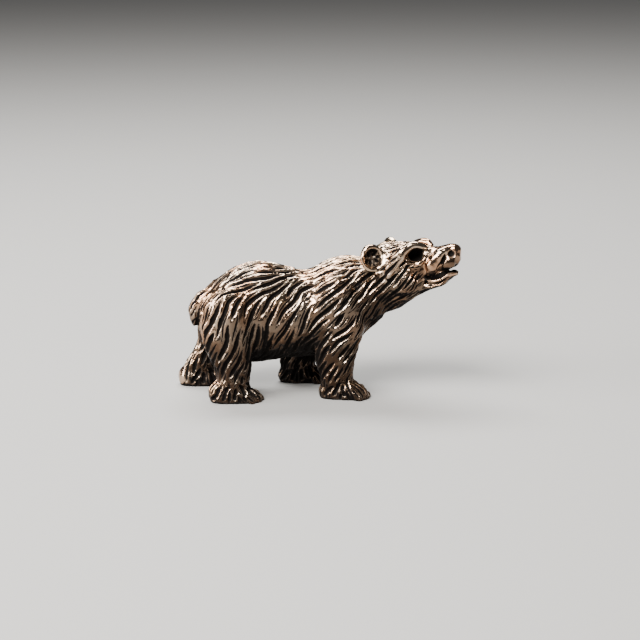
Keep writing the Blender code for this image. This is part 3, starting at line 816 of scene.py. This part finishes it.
def beside(lay, path, spacing):
    # where the next cuts may start, one lock to each side
    for k in range(2, len(path) - 1, strokeRules["nextEvery"]):
        along = (path[k + 1] - path[k]).normalized()
        _, normal = lay.ontoSurface(path[k])
        for way in (-1, 1):
            yield lay.ontoSurface(path[k] + normal.cross(along) * way * spacing)


def strokes(skin, lay, style, drawn):
    # evenly spaced strokes that follow the hair and keep clear of those already drawn
    chance = random.Random(style["seed"])
    seeds = [(v.co.copy(), v.normal.copy()) for v in skin.vertices]
    chance.shuffle(seeds)
    cuts = []
    taken = Nearby(strokeRules["cell"])
    for path, _ in drawn:
        taken.add(path)
    waiting = []
    while seeds or waiting:
        start, normal = waiting.pop(0) if waiting else seeds.pop()
        _, spacing, length = lay.lie(start, normal)
        spacing *= style["spacing"]
        if lay.isBare(start) or taken.anyWithin(start, spacing * strokeRules["startClearance"]):
            continue
        reach = length * chance.uniform(*style["length"])
        nearest = spacing * style["nearest"]
        path = traced(lay, start, normal, -1, reach, taken, nearest, style["step"])[::-1] + [start]
        path += traced(lay, start, normal, 1, reach, taken, nearest, style["step"])
        if len(path) * style["step"] < style["least"] * length:
            continue
        taken.add(path)
        cuts.append((path, spacing))
        waiting.extend(beside(lay, path, spacing * chance.uniform(*strokeRules["nextLock"])))
    return cuts


def smoothRidges(lay):
    # where the wheel has worn the fine hair away
    ridges = []
    for x in range(hairs["backFrom"], hairs["backTo"], hairs["backStep"]):
        ridges.append((lay.ontoSurface(Vector((x, 0, hairs["backAbove"])))[0], hairs["backReach"]))
    for flip in (unchanged, mirrored):
        ridges += [(inHead(flip(p)), hairs["browReach"]) for p in through(face["browPath"])]
    return ridges


def cutDepths(points, cuts, style):
    # how far each point sinks, and the same as a share of the deepest
    total = sum(len(path) for path, _ in cuts)
    tree = KDTree(total)
    strength = np.zeros(total)
    width = np.zeros(total)
    taper = np.zeros(total)
    at = 0
    for path, spacing in cuts:
        for k, point in enumerate(path):
            share = (k + 0.5) / len(path)
            taper[at] = min(1.0, style["taper"] * share, style["taper"] * (1 - share))
            strength[at] = spacing * style["depth"]
            width[at] = spacing * style["halfWidth"] * taper[at] ** strokeRules["widthTaper"]
            tree.insert(point, at)
            at += 1
    tree.balance()
    share = np.zeros(len(points))
    depth = np.zeros(len(points))
    for i, point in enumerate(points):
        _, index, away = tree.find(point)
        if away < width[index]:
            section = (1 - (away / width[index]) ** 2) ** strokeRules["roundness"]
            share[i] = taper[index] ** strokeRules["depthTaper"] * section
            depth[i] = strength[index] * share[i]
    return depth, share


# How open a place is: rays go out from each point, over a ground just under the soles
sky = {
    "rays": 24,
    "reach": 30,
    "start": 0.6,             # how far above the skin a ray starts
    "spread": 0.85,           # 1 would send the lowest rays along the skin
    "groundHeight": -1,
    "groundHalf": 200,
}


def openness(skin):
    # the share of its surroundings that each point sees: a polishing wheel gets no further; it also sets
    # painted shade
    points = [v.co[:] for v in skin.vertices]
    ground = len(points)
    half, height = sky["groundHalf"], sky["groundHeight"]
    points += [(-half, -half, height), (half, -half, height), (half, half, height), (-half, half, height)]
    faces = [list(p.vertices) for p in skin.polygons] + [[ground, ground + 1, ground + 2, ground + 3]]
    tree = BVHTree.FromPolygons(points, faces)
    golden = math.pi * (3 - math.sqrt(5))
    seen = np.zeros(len(skin.vertices))
    spread = []
    for k in range(sky["rays"]):
        up = 1 - (k + 0.5) / sky["rays"] * sky["spread"]
        flat = math.sqrt(1 - up * up)
        spread.append((flat * math.cos(golden * k), flat * math.sin(golden * k), up))
    for i, vertex in enumerate(skin.vertices):
        normal = vertex.normal
        side = normal.orthogonal().normalized()
        other = normal.cross(side)
        start = vertex.co + normal * sky["start"]
        free = 0
        for a, b, c in spread:
            if tree.ray_cast(start, side * a + other * b + normal * c, sky["reach"])[0] is None:
                free += 1
        seen[i] = free / sky["rays"]
    return seen


# How far the bright metal reaches from the middle of each rubbed place and each painted highlight
wearAndPaintedLight = {
    "noseReach": 4.6,
    # the haunch and the heel spots are painted highlights; the nose and face spots are rubbed wear
    "haunch": (-40.0, -9.0, 31.0),
    "haunchReach": 11.0,
    "heelReach": 5.0,
    "browPath": 2.9,
    "lobePath": 3.6,
    "lidPath": 1.5,
    "lipPath": 1.2,
    "earRim": 1.9,
    # painted shadow, browner below the ears, on the chest and behind the elbows: middle, reach, how much
    "paintedShadows": (
        ((15.0, -12.0, 38.0), 9.0, 0.32),
        ((18.0, -9.0, 31.0), 8.0, 0.34),
        ((-2.0, -13.0, 19.0), 9.0, 0.36),
        ((-24.0, -12.0, 14.0), 6.0, 0.30),
    ),
}

# How firmly each kind of spot is edged: a higher value keeps more of it at full strength
spotEdges = {"deepBlack": 1.8, "wearAndPaintedLight": 1.5, "paintedShadows": 1.3, "brow": 1}


def spotted(points, spots, firmness, power=2):
    # what each point has of the strongest spot around it; a spot is a middle, a reach and a strength
    share = np.zeros(len(points))
    for centre, reach, most in spots:
        away = np.linalg.norm(points - np.array(centre), axis=1) / reach
        share = np.maximum(share, most * np.clip(firmness * (1 - away**power), 0, 1))
    return share


def insideHollows(points):
    # the mouth and the eye sockets are black, the nostrils and the ears nearly so
    spots = []
    for flip in (unchanged, mirrored):
        spots += [(inHead(flip(p)), face["mouthReach"], 1.0) for p in through(face["mouthLine"])]
        place, _, depth, way = face["eye"]
        bottom = Vector(place) + Vector(way).normalized() * depth * face["socketShare"]
        spots.append((inHead(flip(bottom)), face["socketReach"], 1.0))
        nostril = inHead(flip(face["nostril"][0]))
        spots.append((nostril, face["nostrilReach"], face["nostrilBlackness"]))
        centre, _, _, facing = earFrame(flip)
        spots.append((centre - facing * ears["blackSink"], ears["blackReach"], ears["blackness"]))
    return spotted(points, spots, spotEdges["deepBlack"], 1)


def keptBrightPlaces(points):
    # where hands and the wheel kept the metal bright, and the painted highlights of haunch and heel
    nose = face["middle"][0][0]
    spots = [
        (inHead(nose), wearAndPaintedLight["noseReach"], 1.0),
        (coat["bareHeel"][0], wearAndPaintedLight["heelReach"], 1.0),
    ]
    for flip in (unchanged, mirrored):
        spots.append((flip(wearAndPaintedLight["haunch"]), wearAndPaintedLight["haunchReach"], 1.0))
        for name in ("browPath", "lobePath", "lidPath", "lipPath"):
            spots += [(inHead(flip(p)), wearAndPaintedLight[name], 1.0) for p in through(face[name])]
        spots += [(p, wearAndPaintedLight["earRim"], 1.0) for p in earRim(flip, ears["rimStep"] // 2)]
    return spotted(points, spots, spotEdges["wearAndPaintedLight"])


def paintedShadowSpots(points):
    # painted shadow: it lowers the openness, so the metal turns browner and blacker there
    spots = [(flip(place), reach, most)
             for flip in (unchanged, mirrored) for place, reach, most in wearAndPaintedLight["paintedShadows"]]
    return spotted(points, spots, spotEdges["paintedShadows"])


def browBand(points):
    # the brow stands out a little broader than the clay tube beneath it
    rows = through([(*place, radius) for place, radius in zip(face["browPath"], face["browRadii"])])
    spots = [(inHead(flip((x, y, z))), face["browReach"] * radius, face["browRise"] * radius)
             for flip in (unchanged, mirrored) for x, y, z, radius in rows]
    return spotted(points, spots, spotEdges["brow"])


def carried(values, fromPoints, toPoints):
    # each new point takes the value of the nearest old one
    tree = KDTree(len(fromPoints))
    for i, point in enumerate(fromPoints):
        tree.insert(point, i)
    tree.balance()
    return np.array([values[tree.find(point)[1]] for point in toPoints])


def thinned(mesh, triangles):
    now = sum(len(p.vertices) - 2 for p in mesh.polygons)
    helper = bpy.data.objects.new("thinned", mesh)
    fewer = helper.modifiers.new("fewer", "DECIMATE")
    fewer.ratio = min(1.0, triangles / now)
    return finished(helper)


def standOnSoles(mesh):
    # cuts the feet off level with the ground and closes them
    shape = bmesh.new()
    shape.from_mesh(mesh)
    cut = bmesh.ops.bisect_plane(
        shape,
        geom=shape.verts[:] + shape.edges[:] + shape.faces[:],
        dist=figure["soleCutDistance"],
        plane_co=(0, 0, 0),
        plane_no=(0, 0, -1),
        clear_outer=True,
    )
    rim = [edge for edge in cut["geom_cut"] if isinstance(edge, bmesh.types.BMEdge)]
    bmesh.ops.holes_fill(shape, edges=rim)
    bmesh.ops.triangulate(shape, faces=[f for f in shape.faces if len(f.verts) > 3])
    bmesh.ops.recalc_face_normals(shape, faces=shape.faces)
    shape.to_mesh(mesh)
    shape.free()


def setToSize(mesh):
    heel, nose = figure["drawnHeelX"], figure["drawnNoseX"]
    mesh.transform(Matrix.Translation((-(heel + nose) / 2, 0, 0)))
    mesh.transform(Matrix.Scale(figure["lengthMetres"] / (nose - heel), 4))


def keep(mesh, name, values):
    # for the material to read
    layer = mesh.attributes.new(name, "FLOAT", "POINT")
    layer.data.foreach_set("value", np.asarray(values, np.float32))


def sculptedBear():
    coarse = formOfBear(figure["coarseVoxel"])
    lay = Coat(coarse)
    lockCuts = pawFans(lay) + faceCuts(lay)
    lockCuts += strokes(coarse, lay, locks, lockCuts)
    lay.bare += smoothRidges(lay)
    hairCuts = strokes(coarse, lay, hairs, lockCuts)
    print("coat drawn:", len(lockCuts), "cuts between locks,", len(hairCuts), "hair strokes")

    fine = formOfBear(figure["fineVoxel"])
    points, normals = pointsOf(fine)
    # the openness, lowered where shadow is painted below the ears, on the chest and behind the elbows
    seen = carried(openness(coarse), pointsOf(coarse)[0], points) - paintedShadowSpots(points)
    lockDepth, lockShare = cutDepths(points, lockCuts, locks)
    hairDepth, hairShare = cutDepths(points, hairCuts, hairs)
    grain = np.array([noise.noise(Vector(p) * figure["grainScale"]) for p in points])
    lockShare = np.maximum(lockShare, insideHollows(points))
    depth = lockDepth + hairDepth * (1 - lockShare) - figure["grain"] * grain - browBand(points)
    moved = points - normals * depth[:, None]
    fine.vertices.foreach_set("co", moved.ravel())
    fine.update()
    keep(fine, "lockCut", lockShare)
    keep(fine, "hairCut", hairShare)
    keep(fine, "openSky", seen)
    keep(fine, "wearAndPaintedLight", keptBrightPlaces(points))
    print("carved:", len(points), "points")

    mesh = thinned(fine, figure["triangles"])
    standOnSoles(mesh)
    setToSize(mesh)
    mesh.name = "castBear"
    mesh.shade_smooth()
    bear = bpy.data.objects.new("castBear", mesh)
    bpy.context.scene.collection.objects.link(bear)
    return bear


bronze = {
    "polished": (0.55, 0.42, 0.31),
    "warm": (0.53, 0.31, 0.185),
    "olive": (0.50, 0.41, 0.22),
    # the metal in painted shade
    "shadedMetal": (0.046, 0.028, 0.018),
    # the black of the patina, also used as painted shade on the undersides and in shelter
    "deepBlack": (0.005, 0.004, 0.0035),
    # scale, detail and roughness of the noise that decides each of these
    "ragged": (1200.0, 3.0, 0.6),     # how the edge of the black frays
    "clouds": (260.0, 4.0, 0.55),     # where the metal is warmer
    "tinge": (120.0, 2.0, 0.5),       # where it is olive
    "smears": (700.0, 3.0, 0.5),      # where it is duller
    "pits": (3800.0, 4.0, 0.65),
    # from one value to another, then what they become
    "paintedUnderShade": (-0.15, -0.75, 0.0, 0.60),    # painted shade, by how far the surface faces down
    "shelterPatinaAndShade": (0.60, 0.38, 0.0, 0.30),    # patina and painted shade, by how open the place is
    "black": (0.22, 0.52, 0.0, 1.0),
    "warmth": (0.42, 0.60, 0.0, 1.0),
    "oliveness": (0.58, 0.75, 0.0, 0.45),
    # painted shade: by openness, by facing sideways or down, and less on rubbed and highlighted places
    "sheltered": (0.95, 0.70, 0.80, 1.0),
    "sideways": (0.65, 0.05, 0.0, 1.0),
    "shadeKept": (0.0, 1.0, 1.0, 0.15),
    # from bare metal to black
    "metallic": (0.0, 1.0, 1.0, 0.0),
    "specular": (0.0, 1.0, 0.5, 0.05),
    "roughness": (0.0, 1.0, 0.15, 0.6),
    "hairBlack": 0.9,                 # how black the fine strokes are beside the cuts
    "fraying": (0.44, -0.22),         # times the noise, and added to it
    "smearing": (0.14, -0.05),
    "pitting": 0.25,
    "pitDepth": 0.00006,
}


def node(tree, kind, values, **settings):
    # a value that is a socket of another node is linked
    made = tree.nodes.new(kind)
    for name, value in settings.items():
        setattr(made, name, value)
    for name, value in values.items():
        if isinstance(value, bpy.types.NodeSocket):
            tree.links.new(value, made.inputs[name])
        else:
            made.inputs[name].default_value = value
    return made


def kept(tree, name):
    # what the sculpting kept for each point
    return node(tree, "ShaderNodeAttribute", {}, attribute_name=name).outputs["Fac"]


def noiseOf(tree, place, name):
    scale, detail, roughness = bronze[name]
    values = {"Vector": place, "Scale": scale, "Detail": detail, "Roughness": roughness}
    return node(tree, "ShaderNodeTexNoise", values).outputs["Fac"]


def ranged(tree, value, name, **settings):
    start, end, low, high = bronze[name]
    values = {"Value": value, "From Min": start, "From Max": end, "To Min": low, "To Max": high}
    return node(tree, "ShaderNodeMapRange", values, **settings).outputs[0]


def worked(tree, operation, *values):
    return node(tree, "ShaderNodeMath", dict(enumerate(values)), operation=operation).outputs[0]


def blended(tree, share, first, second):
    # the share, the two colours and the result of a colour mix are its sockets 0, 6, 7 and 2
    return node(tree, "ShaderNodeMix", {0: share, 6: first, 7: second}, data_type="RGBA").outputs[2]


def opaque(name):
    return (*bronze[name], 1)


def bronzeMaterial():
    material = bpy.data.materials.new("castBronze")
    material.use_nodes = True
    tree = material.node_tree
    link = tree.links.new
    shader = tree.nodes["Principled BSDF"]
    coordinates = node(tree, "ShaderNodeTexCoord", {})
    place = coordinates.outputs["Object"]
    upward = node(tree, "ShaderNodeSeparateXYZ", {0: coordinates.outputs["Normal"]}).outputs["Z"]
    openSky = kept(tree, "openSky")

    # black patina in the cuts and where a wheel couldn't reach; painted shade on undersides and in
    # shelter
    thin = worked(tree, "MULTIPLY", kept(tree, "hairCut"), bronze["hairBlack"])
    dark = worked(tree, "MAXIMUM", kept(tree, "lockCut"), thin)
    dark = worked(tree, "ADD", dark, ranged(tree, openSky, "shelterPatinaAndShade"))
    dark = worked(tree, "ADD", dark, ranged(tree, upward, "paintedUnderShade"))
    frayed = worked(tree, "MULTIPLY_ADD", noiseOf(tree, place, "ragged"), *bronze["fraying"])
    dark = worked(tree, "ADD", dark, frayed)
    patinaAndShade = ranged(tree, dark, "black", interpolation_type="SMOOTHSTEP")

    # the polished metal varies from copper to a trace of olive
    warmth = ranged(tree, noiseOf(tree, place, "clouds"), "warmth")
    metal = blended(tree, warmth, opaque("polished"), opaque("warm"))
    oliveness = ranged(tree, noiseOf(tree, place, "tinge"), "oliveness")
    metal = blended(tree, oliveness, metal, opaque("olive"))

    # painted shade, browner facing sideways or down, most in shelter, least on rubbed and lit places
    paintedShade = worked(tree, "MULTIPLY", ranged(tree, openSky, "sheltered"), ranged(tree, upward, "sideways"))
    paintedShade = worked(tree, "MULTIPLY", paintedShade, ranged(tree, kept(tree, "wearAndPaintedLight"), "shadeKept"))
    metal = blended(tree, paintedShade, metal, opaque("shadedMetal"))
    link(blended(tree, patinaAndShade, metal, opaque("deepBlack")), shader.inputs["Base Color"])
    link(ranged(tree, patinaAndShade, "metallic"), shader.inputs["Metallic"])
    link(ranged(tree, patinaAndShade, "specular"), shader.inputs["Specular IOR Level"])
    smeared = worked(tree, "MULTIPLY_ADD", noiseOf(tree, place, "smears"), *bronze["smearing"])
    rough = worked(tree, "ADD", ranged(tree, patinaAndShade, "roughness"), smeared)
    link(rough, shader.inputs["Roughness"])

    # casting grain and pits
    relief = {
        "Height": noiseOf(tree, place, "pits"),
        "Strength": bronze["pitting"],
        "Distance": bronze["pitDepth"],
    }
    link(node(tree, "ShaderNodeBump", relief).outputs["Normal"], shader.inputs["Normal"])
    return material


studio = {
    "aim": (0.0005, 0.0, 0.0109),
    "azimuth": -6,
    "elevation": 15,
    "distance": 0.279,
    "frameWidth": 0.0972,     # what the picture spans at the figure
    "sensorWidth": 36,
    "nearest": 0.005,
    "furthest": 10,
    "floor": (0.36, 0.356, 0.349),
    "floorRoughness": 0.7,
    "floorHalf": 1.5,
    "world": (0.75, 0.78, 0.82),
    "worldStrength": 0.09,
    "lampAim": (0, 0, 0.012),
    # name, place, size, power and colour of each
    "softboxes": (
        ("keySoftbox", (-0.18, -0.21, 0.36), (0.30, 0.20), 6.0, (1.0, 0.97, 0.93)),
        ("leftSoftbox", (-0.42, -0.06, 0.13), (0.22, 0.18), 2.5, (1.0, 0.97, 0.93)),
        ("rearSoftbox", (-0.02, 0.16, 0.30), (0.28, 0.10), 2.2, (1.0, 0.99, 0.97)),
    ),
}


def seenFrom(azimuth, elevation):
    a, e = math.radians(azimuth), math.radians(elevation)
    return Vector((math.sin(a) * math.cos(e), -math.cos(a) * math.cos(e), math.sin(e)))


def addCamera():
    camera = bpy.data.cameras.new("camera")
    camera.sensor_width = studio["sensorWidth"]
    camera.lens = studio["sensorWidth"] * studio["distance"] / studio["frameWidth"]
    camera.clip_start = studio["nearest"]
    camera.clip_end = studio["furthest"]
    stand = bpy.data.objects.new("camera", camera)
    bpy.context.scene.collection.objects.link(stand)
    way = seenFrom(studio["azimuth"], studio["elevation"])
    stand.location = Vector(studio["aim"]) + way * studio["distance"]
    stand.rotation_euler = (-way).to_track_quat("-Z", "Y").to_euler()
    bpy.context.scene.camera = stand


def addFloor():
    mesh = bpy.data.meshes.new("floor")
    half = studio["floorHalf"]
    corners = [(-half, -half, 0), (half, -half, 0), (half, half, 0), (-half, half, 0)]
    mesh.from_pydata(corners, [], [(0, 1, 2, 3)])
    floor = bpy.data.objects.new("floor", mesh)
    bpy.context.scene.collection.objects.link(floor)
    material = bpy.data.materials.new("paleFloor")
    material.use_nodes = True
    shader = material.node_tree.nodes["Principled BSDF"]
    shader.inputs["Base Color"].default_value = (*studio["floor"], 1)
    shader.inputs["Roughness"].default_value = studio["floorRoughness"]
    mesh.materials.append(material)


def addSoftbox(name, place, size, power, colour):
    lamp = bpy.data.lights.new(name, "AREA")
    lamp.shape = "RECTANGLE"
    lamp.size, lamp.size_y = size
    lamp.energy = power
    lamp.color = colour
    stand = bpy.data.objects.new(name, lamp)
    stand.location = place
    stand.rotation_euler = (Vector(place) - Vector(studio["lampAim"])).to_track_quat("Z", "Y").to_euler()
    bpy.context.scene.collection.objects.link(stand)


def addStudio():
    for softbox in studio["softboxes"]:
        addSoftbox(*softbox)
    world = bpy.data.worlds.new("studio")
    world.use_nodes = True
    background = world.node_tree.nodes["Background"]
    background.inputs["Color"].default_value = (*studio["world"], 1)
    background.inputs["Strength"].default_value = studio["worldStrength"]
    bpy.context.scene.world = world


addCamera()
bear = sculptedBear()
bear.data.materials.clear()
bear.data.materials.append(bronzeMaterial())
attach(bear, "root")
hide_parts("bear")
print("bear made:", len(bear.data.polygons), "triangles")
addFloor()
addStudio()
print("studio ready")
